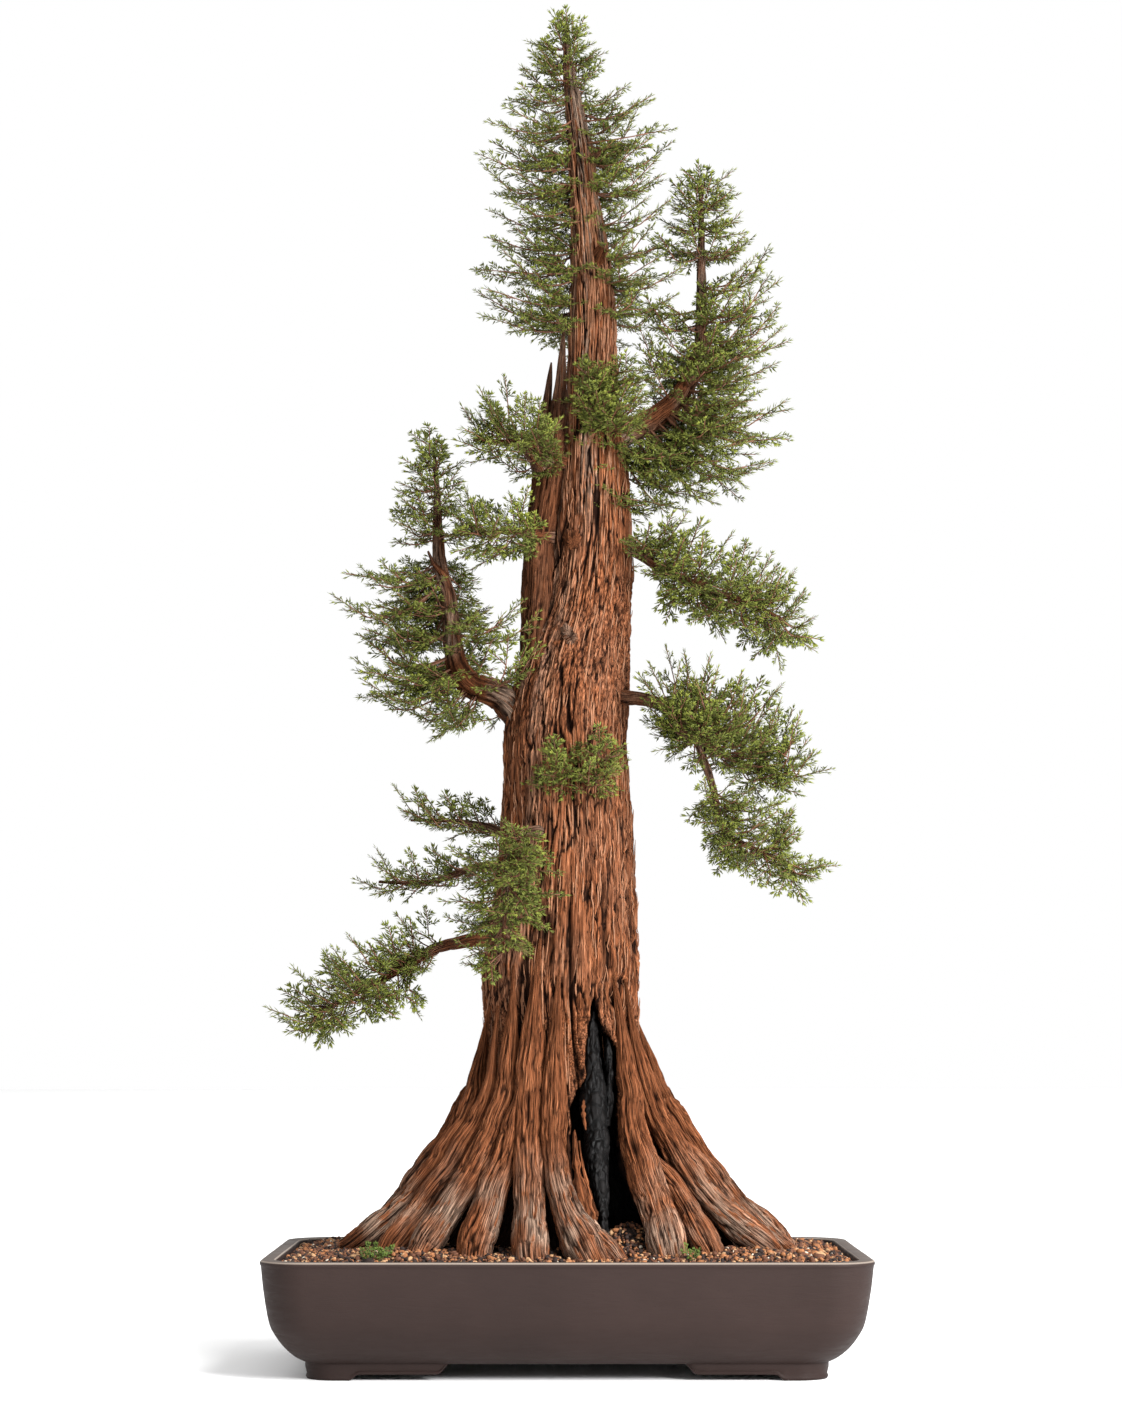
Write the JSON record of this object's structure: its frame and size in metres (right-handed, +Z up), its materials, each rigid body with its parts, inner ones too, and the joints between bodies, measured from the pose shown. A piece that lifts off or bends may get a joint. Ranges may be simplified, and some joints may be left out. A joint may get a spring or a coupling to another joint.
{
  "type": "bonsai tree in a pot",
  "caption": "Formal upright conifer bonsai with flared roots, a burnt hollow and layered needle foliage in a shallow four-footed clay pot",
  "frame": {"origin": "middle of the pot's footprint, on the plane that its feet stand on", "axes": "+Z up along the trunk, +X to the right along the pot's long side, -Y to the front with the burnt hollow"},
  "size_m": [0.446, 0.29, 1.0579],
  "materials": {
    "clay": "matte",
    "soil": "matte",
    "bark": "matte",
    "needles": "matte",
    "sprout": "matte",
    "screen": "matte",
    "wire": "satin"
  },
  "bodies": {
    "root": {"pot": "clay", "soil": "soil", "tree": "bark", "drain_screen_left": "screen", "screen_wire_left": "wire", "sprout_left": "sprout", "drain_screen_right": "screen", "screen_wire_right": "wire", "sprout_right": "sprout", "crown_tip": "needles", "crown_left": "needles", "crown_right": "needles", "crown_back": "needles", "crown_low_left": "needles", "crown_low_right": "needles", "crown_low_back": "needles", "right_spire": "needles", "right_leader_inner": "needles", "right_leader_outer": "needles", "right_leader_low": "needles", "right_inner_low": "needles", "right_leader_back": "needles", "right_front_spray": "needles", "upper_right_pad": "needles", "middle_right_pad": "needles", "low_right_pad": "needles", "upper_left_pad": "needles", "lower_left_pad": "needles", "left_spire": "needles", "left_leader_pad": "needles", "left_leader_low_pad": "needles", "left_leader_inner": "needles", "left_leader_back": "needles", "third_left_pad": "needles", "second_left_pad": "needles", "low_left_pad": "needles", "front_spray": "needles", "front_sprig": "needles", "upper_back_pad": "needles", "lower_back_pad": "needles"}
  },
  "joints": []
}
